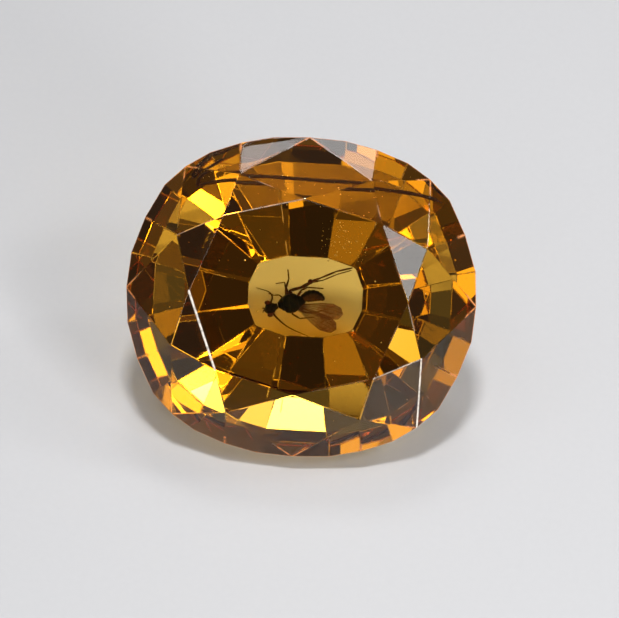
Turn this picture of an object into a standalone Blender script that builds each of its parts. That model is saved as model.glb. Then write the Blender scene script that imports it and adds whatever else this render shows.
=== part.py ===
# Cushion-cut amber with an insect and a plant fibre sealed inside it.
#
# The pieces are modelled in millimetres in the stone's own frame: X along its length, Y across its
# width, Z out of the table, with the origin on the axis at the level of the girdle. One empty turns
# that frame into metres and leans the stone back onto a facet of its pavilion, which is how a loose
# cut stone comes to rest.
#
# The amber is parted in two by a level plane through the insect and most of the fibre, and both
# halves are hollowed around them.

import math

import bmesh
import bpy
from mathutils import Vector

MM = 0.001

# Girdle: the flat sides of one quarter of the outline, each as a direction round the axis in
# degrees and a distance from it. The other quarters mirror this one.
GIRDLE_SIDES = ((0.0, 6.28), (22.8, 6.28), (52.5, 6.20), (73.8, 5.86), (90.0, 5.72))

# Crown: the table's corners in one quarter, and how far from the axis the star facets reach.
CROWN_HEIGHT = 1.60
TABLE_CORNERS = ((3.90, 0.0), (2.82, 2.75), (0.0, 3.48))
STAR_TIP_REACH = 4.88

# Pavilion: a steep tier under the girdle, a flatter tier below it, and a broad culet. Each tier is a
# little steeper toward the ends of the stone.
STEEP_SLOPE = 56.8
EXTRA_STEEP_AT_ENDS = 0.6
STEEP_DEPTH = 2.55
REST_SLOPE = 45.0
EXTRA_REST_AT_ENDS = 0.4
FLAT_DEPTH = 2.63

# Parting plane, between the girdle and the break of the pavilion.
PARTING_LEVEL = -1.60
PARTING_GAP = 0.02

# Pockets.
POCKET_CENTRE = (0.12, -0.24, PARTING_LEVEL)
POCKET_HALF_SIZE = (2.45, 2.05, 0.75)
FIBRE_CLEARANCE = 0.03

# Plant fibre: a stalk that crosses the stone behind the table and hooks back at one end.
FIBRE_RADIUS = 0.07
FIBRE_ROUTE = (
    (-2.89, 4.53, -0.75),
    (-3.19, 4.21, -0.95),
    (-3.43, 3.99, -1.06),
    (-3.58, 3.86, -1.14),
    (-3.65, 3.60, -1.36),
    (-3.62, 3.44, -1.58),
    (-3.27, 3.48, -1.64),
    (-2.30, 3.58, -1.66),
    (0.61, 3.56, -1.60),
    (2.34, 3.60, -1.38),
    (3.74, 3.63, -1.00),
    (4.66, 3.52, -0.62),
)
FIBRE_STEPS = 4

# Insect: its body as ellipsoids (centre, half sizes, turn in degrees), with heights measured from
# the parting plane.
BODY = {
    "head": ((-1.10, -0.49, 0.00), (0.22, 0.27, 0.21), 20.0),
    "thorax": ((-0.36, -0.22, 0.02), (0.47, 0.35, 0.33), 14.0),
    "abdomen": ((0.38, 0.01, 0.00), (0.43, 0.22, 0.21), 8.0),
    "hind_leg_knee": ((0.29, 0.56, 0.22), (0.095, 0.095, 0.085), 0.0),
}

# Neck, waist, legs and antennae: a route each, and the radius at its two ends.
LIMBS = {
    "neck": (((-1.02, -0.42, 0.00), (-0.60, -0.29, 0.02)), (0.10, 0.14)),
    "waist": (((-0.06, -0.14, 0.02), (0.20, -0.02, 0.00)), (0.12, 0.12)),
    "front_leg": (
        ((-0.46, -0.02, -0.08), (-0.58, 0.31, -0.14), (-0.50, 0.62, -0.08), (-0.55, 0.96, 0.02)),
        (0.05, 0.025),
    ),
    "front_leg_far": (
        ((-0.56, -0.06, -0.15), (-0.61, 0.28, -0.30), (-0.65, 0.49, -0.34), (-0.98, 0.42, -0.38)),
        (0.04, 0.025),
    ),
    "front_leg_left": (
        ((-0.62, -0.12, -0.10), (-0.82, 0.02, -0.22), (-1.00, 0.00, -0.26), (-1.22, 0.06, -0.30)),
        (0.036, 0.025),
    ),
    "hind_leg_thigh": (
        ((-0.34, 0.00, 0.05), (-0.44, 0.20, 0.12), (-0.04, 0.33, 0.18), (0.27, 0.51, 0.21)),
        (0.06, 0.06),
    ),
    "hind_leg": (
        ((0.28, 0.55, 0.21), (0.66, 0.72, 0.18), (1.20, 0.98, 0.08), (1.77, 1.14, 0.00)),
        (0.045, 0.03),
    ),
    "hind_leg_shin": (
        ((0.30, 0.53, 0.17), (0.74, 0.64, 0.10), (1.24, 0.88, 0.04), (1.74, 1.05, -0.03)),
        (0.03, 0.025),
    ),
    "middle_leg": (
        ((-0.14, 0.02, 0.10), (-0.02, 0.24, 0.20), (0.20, 0.355, 0.25), (0.78, 0.34, 0.20)),
        (0.045, 0.025),
    ),
    "hind_leg_far": (
        ((0.02, -0.26, -0.05), (0.05, -0.54, -0.12), (0.46, -0.56, -0.18), (1.26, -0.24, -0.26)),
        (0.045, 0.025),
    ),
    "middle_leg_far": (
        ((-0.24, -0.40, -0.10), (-0.31, -0.63, -0.16), (-0.03, -0.78, -0.20), (0.50, -0.70, -0.26)),
        (0.045, 0.025),
    ),
    "antenna": (
        ((-1.02, -0.58, 0.08), (-0.86, -0.78, 0.14), (-0.40, -1.12, 0.10), (0.50, -1.47, 0.00)),
        (0.035, 0.02),
    ),
    "antenna_far": (
        ((-1.10, -0.30, 0.08), (-1.05, -0.06, 0.14), (-1.20, 0.12, 0.10), (-1.66, 0.24, 0.00)),
        (0.035, 0.02),
    ),
}

# Wings: one outline, as a length and a width, set at the thorax by a place, a heading and a tilt.
WING_LENGTH = 1.70
WING_WIDTH = 0.62
WING_THICKNESS = 0.03
WINGS = {
    "wing": ((-0.16, -0.30, 0.16), -9.0, -8.0),
    "wing_far": ((-0.22, -0.36, 0.02), -27.0, -3.0),
}

SHARP_ANGLE = 40
BALL_SEGMENTS = 20
BALL_RINGS = 12
LIMB_STEPS = 3


def clear_scene():
    for obj in list(bpy.data.objects):
        bpy.data.objects.remove(obj, do_unlink=True)


def make_material(name, colour, roughness, transmission=0.0):
    material = bpy.data.materials.new(name)
    material.use_nodes = True
    shader = material.node_tree.nodes["Principled BSDF"]
    shader.inputs["Base Color"].default_value = (*colour, 1.0)
    shader.inputs["Roughness"].default_value = roughness
    shader.inputs["Metallic"].default_value = 0.0
    shader.inputs["Transmission Weight"].default_value = transmission
    return material


def shade_round(data):
    """Shades round surfaces smooth and keeps true edges sharp."""
    data.shade_smooth()
    data.set_sharp_from_angle(angle=math.radians(SHARP_ANGLE))


def add_object(name, data, collection, frame, material=None):
    obj = bpy.data.objects.new(name, data)
    collection.objects.link(obj)
    obj.parent = frame
    if material:
        data.materials.append(material)
    return obj


def make_helper(obj):
    """Keeps an object that only cuts or joins another out of the finished part."""
    obj.hide_render = True
    obj.display_type = "WIRE"
    return obj


def quarter_to_whole(sides):
    """Mirrors one quarter's (direction, distance) pairs into the other three, in order."""
    whole = set()
    for direction, distance in sides:
        for turned in (direction, 180 - direction, 180 + direction, 360 - direction):
            whole.add((turned % 360, distance))
    return sorted(whole)


def outward(direction, slope, side):
    """Unit normal of a facet that faces a direction and slopes up (side 1) or down (side -1)."""
    turn, lean = math.radians(direction), math.radians(slope)
    return Vector(
        (math.cos(turn) * math.sin(lean), math.sin(turn) * math.sin(lean), side * math.cos(lean))
    )


def side_middles(sides):
    """Middle of each flat side of the outline, where the crown's facets meet the girdle."""
    corners = []
    for (a, reach_a), (b, reach_b) in zip(sides, sides[1:] + sides[:1]):
        normal_a, normal_b = (Vector((math.cos(t), math.sin(t))) for t in map(math.radians, (a, b)))
        turn = normal_a.cross(normal_b)
        corners.append(
            Vector((reach_a * normal_b.y - reach_b * normal_a.y,
                    reach_b * normal_a.x - reach_a * normal_b.x)) / turn
        )
    return [((corners[i - 1] + corners[i]) / 2).to_3d() for i in range(len(corners))]


def whole_table():
    """The table's eight corners, anticlockwise from the +X end."""
    (end, _), (x, y), (_, side) = TABLE_CORNERS
    points = ((end, 0), (x, y), (0, side), (-x, y), (-end, 0), (-x, -y), (0, -side), (x, -y))
    return [Vector((*point, CROWN_HEIGHT)) for point in points]


def plane_through(a, b, c):
    """A plane through three points, as a point and a normal that faces away from the axis."""
    normal = (b - a).cross(c - a).normalized()
    return a, normal if normal.dot(a) > 0 else -normal


def main_facet(corner, foot):
    """The plane that falls straight from a table corner to a point of the girdle."""
    fall = foot - corner
    level = fall.cross(Vector((0, 0, 1)))
    return plane_through(foot, corner, foot + level)


def star_tip(main_a, main_b, middle):
    """Where two neighbouring mains meet, STAR_TIP_REACH from the axis."""
    (point_a, normal_a), (point_b, normal_b) = main_a, main_b
    along = normal_a.cross(normal_b).normalized()
    toward_b = normal_a.cross(along)
    start = point_a + toward_b * ((point_b - point_a).dot(normal_b) / toward_b.dot(normal_b))
    flat_start, flat_along = start.to_2d(), along.to_2d()
    a, b = flat_along.length_squared, flat_start.dot(flat_along)
    root = math.sqrt(b * b - a * (flat_start.length_squared - STAR_TIP_REACH**2))
    tips = [start + along * ((sign * root - b) / a) for sign in (1, -1)]
    return max(tips, key=lambda tip: tip.dot(middle))


def crown_facets(sides):
    table = whole_table()
    middles = side_middles(sides)
    yield Vector((0, 0, CROWN_HEIGHT)), Vector((0, 0, 1))
    mains = [main_facet(corner, middles[2 * i]) for i, corner in enumerate(table)]
    yield from mains
    for i, corner in enumerate(table):
        after = (i + 1) % len(table)
        between = middles[2 * i + 1]
        tip = star_tip(mains[i], mains[after], between)
        yield plane_through(corner, table[after], tip)
        yield plane_through(tip, middles[2 * i], between)
        yield plane_through(tip, between, middles[2 * after])


def tier_slope(side_slope, extra_at_ends, direction):
    """Slope of one tier's facet that faces a direction."""
    return side_slope + extra_at_ends * math.cos(math.radians(direction)) ** 2


def pavilion_facets(sides):
    for direction, reach in sides:
        steep = tier_slope(STEEP_SLOPE, EXTRA_STEEP_AT_ENDS, direction)
        flat = tier_slope(REST_SLOPE, EXTRA_REST_AT_ENDS, direction)
        across = outward(direction, 90, 1)
        break_reach = reach - STEEP_DEPTH / math.tan(math.radians(steep))
        yield across * reach, outward(direction, steep, -1)
        yield across * break_reach - Vector((0, 0, STEEP_DEPTH)), outward(direction, flat, -1)
    yield Vector((0, 0, -STEEP_DEPTH - FLAT_DEPTH)), Vector((0, 0, -1))


def cut_away(mesh, point, normal):
    """Removes what lies beyond a plane and closes the cut with one flat face."""
    parts = mesh.verts[:] + mesh.edges[:] + mesh.faces[:]
    cut = bmesh.ops.bisect_plane(
        mesh, geom=parts, dist=1e-4, plane_co=point, plane_no=normal, clear_outer=True
    )
    rim = [part for part in cut["geom_cut"] if isinstance(part, bmesh.types.BMEdge)]
    open_rim = [edge for edge in rim if edge.is_boundary]
    if open_rim:
        bmesh.ops.edgeloop_fill(mesh, edges=open_rim)


def cut_stone():
    """A rough block cut facet by facet into the whole stone."""
    stone = bmesh.new()
    bmesh.ops.create_cube(stone, size=4 * GIRDLE_SIDES[0][1])
    sides = quarter_to_whole(GIRDLE_SIDES)
    for point, normal in [*crown_facets(sides), *pavilion_facets(sides)]:
        cut_away(stone, point, normal)
    return stone


def part_of_stone(name, side, collection, frame, material):
    """The stone above (side 1) or below (side -1) the parting plane."""
    stone = cut_stone()
    face = Vector((0, 0, side))
    cut_away(stone, Vector((0, 0, PARTING_LEVEL)) + face * PARTING_GAP / 2, -face)
    data = bpy.data.meshes.new(name)
    stone.to_mesh(data)
    stone.free()
    return add_object(name, data, collection, frame, material)


def smooth_route(points, steps):
    """Points on the smooth curve that runs through the given ones."""
    route = [Vector(point) for point in points]
    ends = [2 * route[0] - route[1], *route, 2 * route[-1] - route[-2]]
    smooth = []
    for a, b, c, d in zip(ends, ends[1:], ends[2:], ends[3:]):
        for step in range(steps):
            t = step / steps
            smooth.append(
                0.5 * (2 * b + (c - a) * t + (2 * a - 5 * b + 4 * c - d) * t**2
                       + (3 * b - a - 3 * c + d) * t**3)
            )
    return [*smooth, route[-1]]


def tube_curve(name, route, radii, steps):
    """A round rod along a smooth route, its radius running evenly from one end's to the other's."""
    curve = bpy.data.curves.new(name, "CURVE")
    curve.dimensions = "3D"
    curve.bevel_depth = radii[0]
    curve.bevel_resolution = 2
    curve.use_fill_caps = True
    points = smooth_route(route, steps)
    spline = curve.splines.new("POLY")
    spline.points.add(len(points) - 1)
    for i, point in enumerate(points):
        share = i / (len(points) - 1)
        spline.points[i].co = (*point, 1)
        spline.points[i].radius = 1 + (radii[1] / radii[0] - 1) * share
    return curve


def mesh_from_curve(name, curve, collection, frame):
    """The curve's surface as a closed mesh object in the stone's frame."""
    source = add_object(name + "_curve", curve, collection, frame)
    bpy.context.view_layer.update()
    evaluated = source.evaluated_get(bpy.context.evaluated_depsgraph_get())
    data = bpy.data.meshes.new_from_object(evaluated)
    bpy.data.objects.remove(source, do_unlink=True)
    welded = bmesh.new()
    welded.from_mesh(data)
    bmesh.ops.remove_doubles(welded, verts=welded.verts, dist=1e-4)
    bmesh.ops.recalc_face_normals(welded, faces=welded.faces)
    welded.to_mesh(data)
    welded.free()
    shade_round(data)
    return add_object(name, data, collection, frame)


def ball(name, centre, half_sizes, turn, collection, frame):
    """An ellipsoid turned about Z."""
    mesh = bmesh.new()
    bmesh.ops.create_uvsphere(mesh, u_segments=BALL_SEGMENTS, v_segments=BALL_RINGS, radius=1)
    data = bpy.data.meshes.new(name)
    mesh.to_mesh(data)
    mesh.free()
    shade_round(data)
    obj = add_object(name, data, collection, frame)
    obj.location = centre
    obj.scale = half_sizes
    obj.rotation_euler.z = math.radians(turn)
    return obj


def wing_outline():
    """A blade that is narrow at its root and widest at two thirds of its length."""
    upper = [(0.0, 0.10), (0.25, 0.24), (0.50, 0.42), (0.75, 0.52), (0.93, 0.38)]
    lower = [(0.93, -0.30), (0.70, -0.48), (0.45, -0.36), (0.20, -0.18), (0.0, -0.10)]
    tip = [(1.0, 0.04)]
    return [(x * WING_LENGTH, y * WING_WIDTH, 0.0) for x, y in upper + tip + lower]


def wing(name, root, heading, tilt, collection, frame):
    curve = bpy.data.curves.new(name, "CURVE")
    curve.dimensions = "2D"
    curve.fill_mode = "BOTH"
    curve.extrude = WING_THICKNESS / 2
    outline = wing_outline()
    spline = curve.splines.new("POLY")
    spline.points.add(len(outline) - 1)
    for point, place in zip(spline.points, outline):
        point.co = (*place, 1)
    spline.use_cyclic_u = True
    obj = mesh_from_curve(name, curve, collection, frame)
    obj.location = root
    obj.rotation_euler = (math.radians(tilt), math.radians(-tilt / 2), math.radians(heading))
    return obj


def use_boolean(target, operation, other):
    modifier = target.modifiers.new(f"{operation.lower()} {other.name}", "BOOLEAN")
    modifier.operation = operation
    modifier.object = other
    modifier.solver = "EXACT"


def insect_place(place):
    """A place given relative to the insect's level, in the stone's frame."""
    return Vector(place) + Vector((0, 0, PARTING_LEVEL))


def make_insect(collection, helpers, frame, material):
    name, (centre, half_sizes, turn) = next(iter(BODY.items()))
    insect = ball("insect", insect_place(centre), half_sizes, turn, collection, frame)
    insect.data.materials.append(material)
    joined = [
        ball(part, insect_place(place), size, angle, helpers, frame)
        for part, (place, size, angle) in BODY.items() if part != name
    ]
    for part, (route, radii) in LIMBS.items():
        curve = tube_curve(part, [insect_place(place) for place in route], radii, LIMB_STEPS)
        joined.append(mesh_from_curve(part, curve, helpers, frame))
    for part, (root, heading, tilt) in WINGS.items():
        joined.append(wing(part, insect_place(root), heading, tilt, helpers, frame))
    for part in joined:
        use_boolean(insect, "UNION", make_helper(part))
    return insect


def make_fibre(collection, frame, material):
    curve = tube_curve("plant_fibre", FIBRE_ROUTE, (FIBRE_RADIUS, FIBRE_RADIUS), FIBRE_STEPS)
    return add_object("plant_fibre", curve, collection, frame, material)


def make_pockets(helpers, frame):
    pocket = ball("insect_pocket", POCKET_CENTRE, POCKET_HALF_SIZE, 0, helpers, frame)
    bore = FIBRE_RADIUS + FIBRE_CLEARANCE
    route = [Vector(point) for point in FIBRE_ROUTE]
    route[0] += (route[0] - route[1]).normalized() * FIBRE_CLEARANCE
    route[-1] += (route[-1] - route[-2]).normalized() * FIBRE_CLEARANCE
    curve = tube_curve("fibre_channel", route, (bore, bore), FIBRE_STEPS)
    channel = mesh_from_curve("fibre_channel", curve, helpers, frame)
    return [make_helper(pocket), make_helper(channel)]


def lean_back(frame, stone_halves):
    """Turns the stone onto the facet it rests on, with the origin under the middle of its box."""
    frame.scale = (MM, MM, MM)
    frame.rotation_euler.x = math.radians(REST_SLOPE)
    bpy.context.view_layer.update()
    corners = [
        half.matrix_world @ vertex.co for half in stone_halves for vertex in half.data.vertices
    ]
    low = [min(corner[axis] for corner in corners) for axis in range(3)]
    high = [max(corner[axis] for corner in corners) for axis in range(3)]
    frame.location = (-(low[0] + high[0]) / 2, -(low[1] + high[1]) / 2, -low[2])


def main():
    clear_scene()
    pieces = bpy.data.collections.new("insect_in_amber")
    helpers = bpy.data.collections.new("cutters")
    for collection in (pieces, helpers):
        bpy.context.scene.collection.children.link(collection)
    frame = bpy.data.objects.new("stone_frame", None)
    pieces.objects.link(frame)

    amber = make_material("amber", (0.85, 0.45, 0.05), 0.03, transmission=1.0)
    chitin = make_material("chitin", (0.04, 0.03, 0.02), 0.45)
    straw = make_material("dry_stalk", (0.10, 0.05, 0.02), 0.70)

    halves = [
        part_of_stone("amber_crown", 1, pieces, frame, amber),
        part_of_stone("amber_pavilion", -1, pieces, frame, amber),
    ]
    make_insect(pieces, helpers, frame, chitin)
    make_fibre(pieces, frame, straw)
    for half in halves:
        for pocket in make_pockets(helpers, frame):
            use_boolean(half, "DIFFERENCE", pocket)
    lean_back(frame, halves)


main()
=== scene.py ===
import math

import bpy
import numpy as np
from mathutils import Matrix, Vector


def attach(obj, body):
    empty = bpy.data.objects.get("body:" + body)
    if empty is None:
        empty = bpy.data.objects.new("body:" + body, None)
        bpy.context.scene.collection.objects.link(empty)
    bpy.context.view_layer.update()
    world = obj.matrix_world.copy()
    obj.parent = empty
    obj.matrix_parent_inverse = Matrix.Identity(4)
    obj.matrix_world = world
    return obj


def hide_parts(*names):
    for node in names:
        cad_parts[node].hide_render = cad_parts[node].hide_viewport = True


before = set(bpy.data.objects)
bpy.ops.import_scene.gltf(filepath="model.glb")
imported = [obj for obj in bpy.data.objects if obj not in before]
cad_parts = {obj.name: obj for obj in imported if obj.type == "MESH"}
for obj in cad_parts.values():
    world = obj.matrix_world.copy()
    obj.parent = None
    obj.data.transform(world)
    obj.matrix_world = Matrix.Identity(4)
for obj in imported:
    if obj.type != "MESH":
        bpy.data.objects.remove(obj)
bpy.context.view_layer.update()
print("frame loaded:", ", ".join(sorted(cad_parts)))

mm = 0.001
draw = np.random.default_rng(41)


# A socket that can stand in a sum: each operation adds one Math node.
class Signal:
    def __init__(self, nodes, socket):
        self.nodes = nodes
        self.socket = socket

    def combine(self, operation, first, second):
        return self.nodes.node("ShaderNodeMath", {"operation": operation}, {0: first, 1: second})

    def __add__(self, other):
        return self.combine("ADD", self, other)

    def __sub__(self, other):
        return self.combine("SUBTRACT", self, other)

    def __rsub__(self, other):
        return self.combine("SUBTRACT", other, self)

    def __mul__(self, other):
        return self.combine("MULTIPLY", self, other)

    __radd__ = __add__
    __rmul__ = __mul__


# A node tree. node() adds any node: first its settings, then the values or links of its sockets.
class Nodes:
    def __init__(self, tree):
        self.tree = tree

    def put(self, socket, value):
        if isinstance(value, Signal):
            self.tree.links.new(value.socket, socket)
        else:
            socket.default_value = value

    def node(self, kind, settings=None, values=None, output=0):
        made = self.tree.nodes.new(kind)
        for key, value in (settings or {}).items():
            if key == "stops":
                for element, (position, tone) in zip(made.color_ramp.elements, value):
                    element.position = position
                    element.color = tone
            else:
                setattr(made, key, value)
        for key, value in (values or {}).items():
            self.put(made.inputs[key], value)
        return Signal(self, made.outputs[output])

    def place(self):
        return self.node("ShaderNodeTexCoord", output="Object")

    def noise(self, grain, detail=3.0, roughness=0.5, place=None):
        return self.node("ShaderNodeTexNoise", None, {
            "Vector": place or self.place(),
            "Scale": 1 / grain,
            "Detail": detail,
            "Roughness": roughness,
        })

    def attribute(self, name):
        return self.node("ShaderNodeAttribute", {"attribute_name": name}, output="Fac")

    def step(self, value, low, high):
        return self.node("ShaderNodeMapRange", {"interpolation_type": "SMOOTHSTEP"}, {
            "Value": value, "From Min": low, "From Max": high,
        })

    def blend(self, factor, first, second):
        return self.node("ShaderNodeMix", {"data_type": "RGBA"}, {0: factor, 6: first, 7: second}, 2)

    def vector(self, operation, output, values):
        return self.node("ShaderNodeVectorMath", {"operation": operation}, values, output)

    def bump(self, height, distance, strength):
        return self.node("ShaderNodeBump", None, {
            "Height": height, "Distance": distance, "Strength": strength,
        })


# A material: surface() sets or links the sockets of its main shader, send() links its output.
class Paint(Nodes):
    def __init__(self, name):
        self.material = bpy.data.materials.new(name)
        self.material.use_nodes = True
        super().__init__(self.material.node_tree)
        self.shader = self.tree.nodes["Principled BSDF"]

    def surface(self, values):
        for key, value in values.items():
            self.put(self.shader.inputs[key], value)

    def whole(self):
        return Signal(self, self.shader.outputs["BSDF"])

    def send(self, name, signal):
        self.put(self.tree.nodes["Material Output"].inputs[name], signal)


def colour(red, green, blue):
    return (red, green, blue, 1.0)


# Points and faces come as lists of arrays; a row of a face array holds the corners of one face.
# Each attribute is a list of arrays too, with one value for each point.
def addMesh(name, points, faces, material, attributes=None, smooth=True):
    points = np.concatenate(points)
    loops = np.concatenate([np.ravel(block) for block in faces]).astype(np.int32)
    sizes = np.concatenate([np.full(len(block), block.shape[1]) for block in faces])
    data = bpy.data.meshes.new(name)
    data.vertices.add(len(points))
    data.vertices.foreach_set("co", np.ravel(points))
    data.loops.add(len(loops))
    data.loops.foreach_set("vertex_index", loops)
    data.polygons.add(len(sizes))
    data.polygons.foreach_set("loop_start", np.concatenate(([0], np.cumsum(sizes)[:-1])))
    data.polygons.foreach_set("use_smooth", np.full(len(sizes), smooth))
    for key, values in (attributes or {}).items():
        layer = data.attributes.new(key, "FLOAT", "POINT")
        layer.data.foreach_set("value", np.concatenate(values).astype(np.float32))
    data.materials.append(material)
    data.update(calc_edges=True)
    data.validate()
    piece = bpy.data.objects.new(name, data)
    bpy.context.scene.collection.objects.link(piece)
    return piece


# Grids are arrays of (rings, sides, 3). Each ring closes on itself; the first and last ring are
# closed by a fan to their middle. All of them are joined in one mesh.
def addGrids(name, grids, material, attributes=None):
    points, quads, triangles, base = [], [], [], 0
    for grid in grids:
        rings, sides = grid.shape[:2]
        points += [grid.reshape(-1, 3), grid[0].mean(axis=0)[None], grid[-1].mean(axis=0)[None]]
        index = base + np.arange(rings * sides).reshape(rings, sides)
        after = np.roll(index, -1, axis=1)
        quads.append(np.stack((index[:-1], after[:-1], after[1:], index[1:]), axis=-1).reshape(-1, 4))
        first, last = base + rings * sides, base + rings * sides + 1
        triangles.append(np.stack((after[0], index[0], np.full(sides, first)), axis=-1))
        triangles.append(np.stack((index[-1], after[-1], np.full(sides, last)), axis=-1))
        base += rings * sides + 2
    return addMesh(name, points, quads + triangles, material, attributes)


# An attribute of a grid: its values, then those of the two middles that close it.
def gridValues(values, middles):
    return np.concatenate((np.ravel(values), middles))


def evenValue(grid, value):
    return np.full(grid.shape[0] * grid.shape[1] + 2, value)


# Smooth curve through the given points: each stretch is a cubic whose slopes come from its
# neighbours.
def smoothRoute(points, steps):
    p = np.asarray(points, float)
    p = np.concatenate((2 * p[:1] - p[1:2], p, 2 * p[-1:] - p[-2:-1]))
    t = (np.arange(steps) / steps)[None, :, None]
    a, b, c, d = (p[i:len(p) - 3 + i, None] for i in range(4))
    square = 2 * a - 5 * b + 4 * c - d
    cube = 3 * b - a - 3 * c + d
    curve = 0.5 * (2 * b + (c - a) * t + square * t**2 + cube * t**3)
    return np.concatenate((curve.reshape(-1, 3), p[-2:-1]))


# Straight stretches with knees: each stretch is divided evenly.
def kneedRoute(points, steps):
    p = np.asarray(points, float)
    t = (np.arange(steps) / steps)[None, :, None]
    return np.concatenate(((p[:-1, None] * (1 - t) + p[1:, None] * t).reshape(-1, 3), p[-1:]))


def lengthShare(route):
    run = np.concatenate(([0], np.cumsum(np.linalg.norm(np.diff(route, axis=0), axis=1))))
    return run / run[-1]


# Values that stand evenly along a route, read at shares of its length.
def spread(share, values):
    return np.interp(share, np.linspace(0, 1, len(values)), values)


# Two directions across the route at each point: one level with the stone's table, and one square
# to that and to the route.
def routeFrame(route):
    along = np.gradient(route, axis=0)
    along /= np.linalg.norm(along, axis=1)[:, None]
    side = np.cross(np.broadcast_to((0, 0, 1), along.shape), along)
    side += 1e-6                       # so that it isn't zero where the route is upright
    side /= np.linalg.norm(side, axis=1)[:, None]
    return side, np.cross(along, side)


# A section carried along a route: point = route + radius * (cos * side + sin * top * high). The
# radius is a function of the share of the length and the angle, or values for spread().
def tubeGrid(route, radius, sides, high=1.0):
    side, top = routeFrame(route)
    share = lengthShare(route)[:, None]
    angle = np.linspace(0, 2 * math.pi, sides, endpoint=False)[None, :]
    r = radius(share, angle) if callable(radius) else spread(share, radius)
    r = np.broadcast_to(r, (len(route), sides))[..., None]
    level = np.cos(angle)[..., None] * side[:, None]
    upright = np.sin(angle)[..., None] * top[:, None] * high
    return route[:, None] + r * (level + upright)


# Ball of radius one: point = (sin u * cos v, sin u * sin v, -cos u), where u stops short of both
# poles by the gap.
def ballGrid(rings, sides, gap):
    u = np.linspace(gap, math.pi - gap, rings)[:, None]
    v = np.linspace(0, 2 * math.pi, sides, endpoint=False)[None, :]
    height = -np.cos(u) * np.ones_like(v)
    return np.stack((np.sin(u) * np.cos(v), np.sin(u) * np.sin(v), height), axis=-1)


# Stone. Scars are stretches of edge frosted pale cream, partly wear and partly a painted highlight
# along those edges: both ends and the width in the stone's own millimetres, and how frosted they are.
stone = {
    "crownHeight": 1.60,               # mm, from the girdle to the table
    "rimRings": (0.03, 0.12),          # mm in from each edge, where the wear is measured
    "rimShare": 0.9,                   # of the way to a facet's middle; no such ring lies further in
    "edgeRound": 0.024 * mm,
    "edgeAngle": 4,                    # degrees, the least turn at an edge that is rounded
    "ior": 1.54,
    "absorbColour": colour(0.962, 0.757, 0.0),
    "absorbPerMetre": 310.0,
    "polish": 0.004,                   # roughness of a clean facet
    "haze": 0.004,                     # more roughness in hazy patches
    "hazeGrain": 2.4 * mm,
    "wear": 0.12,                      # more roughness in patches near the edges
    "wearReach": 0.10,                 # mm in from an edge
    "wearGrain": 0.5 * mm,
    "rubbed": (0.02, 0.36),            # more roughness all along an edge, and in uneven stretches
    "rubbedReach": 0.040,              # mm in from an edge
    "rubbedGrain": 1.6 * mm,
    "scratchGrain": 1.1 * mm,
    "scratchTurn": (0.3, 0.2, 0.9),
    "scratchSqueeze": (1.0, 14.0, 1.0),
    "scratchShow": (0.05, 0.7),        # all over, and more near the edges
    "scratchDepth": 0.002 * mm,
    "scratchStrength": 0.35,
    "frost": (0.45, 0.2),              # roughness where it is frosted, and more in patches
    "chipGrain": 0.12 * mm,
    # pale cream of the scars: a painted highlight along the worn edges
    "highlightScarTone": colour(0.95, 0.88, 0.78),
    "highlightScarCore": 0.4,                   # share of a scar's width that is fully frosted
    "highlightScars": (((-3.90, 0.0, 1.60), (-2.82, -2.75, 1.60), 0.055, 1.0),
              ((4.467, -1.964, 1.219), (4.399, -4.439, 0.0), 0.045, 0.9),
              ((2.82, -2.75, 1.60), (4.467, -1.964, 1.219), 0.035, 0.35),
              ((-2.82, 2.75, 1.60), (0.0, 3.48, 1.60), 0.030, 0.30),
              ((-4.467, 1.964, 1.219), (-2.82, 2.75, 1.60), 0.030, 0.22)),
    "girdleTone": colour(0.95, 0.34, 0.10),
    "girdleReach": 0.05,               # mm in from an edge
    "girdleBand": 0.28,                # mm from the girdle
    "girdleCore": 0.7,                 # share of the band that is fully frosted
    "girdleFrost": 0.70,
}


# Planes of the two CAD halves that have none of the stone beyond them: these are the cut facets.
# Triangles whose planes differ by less than the turn and the shift lie on one facet.
def outerPlanes(speck=1e-10, touch=2e-7, turn=math.radians(0.8), shift=2e-5):
    normals, offsets, areas, points = [], [], [], []
    for name in ("amber_crown", "amber_pavilion"):
        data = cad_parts[name].data
        co = np.empty(len(data.vertices) * 3)
        data.vertices.foreach_get("co", co)
        co = co.reshape(-1, 3)
        data.calc_loop_triangles()
        corner = np.empty(len(data.loop_triangles) * 3, np.int32)
        data.loop_triangles.foreach_get("vertices", corner)
        a, b, c = (co[corner.reshape(-1, 3)[:, i]] for i in range(3))
        cross = np.cross(b - a, c - a)
        size = np.linalg.norm(cross, axis=1)
        keep = size > speck
        normals.append(cross[keep] / size[keep, None])
        offsets.append(np.einsum("ij,ij->i", normals[-1], a[keep]))
        areas.append(size[keep] / 2)
        points.append(co)
    normals, offsets, areas, points = map(np.concatenate, (normals, offsets, areas, points))
    beyond = (points @ normals.T - offsets).max(axis=0)
    order = np.argsort(-areas)
    planes = []
    for i in order[beyond[order] < touch]:
        if all(normals[i] @ n < math.cos(turn) or abs(offsets[i] - d) > shift for n, d in planes):
            planes.append((normals[i], offsets[i]))
    return np.array([n for n, d in planes]), np.array([d for n, d in planes])


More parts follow.
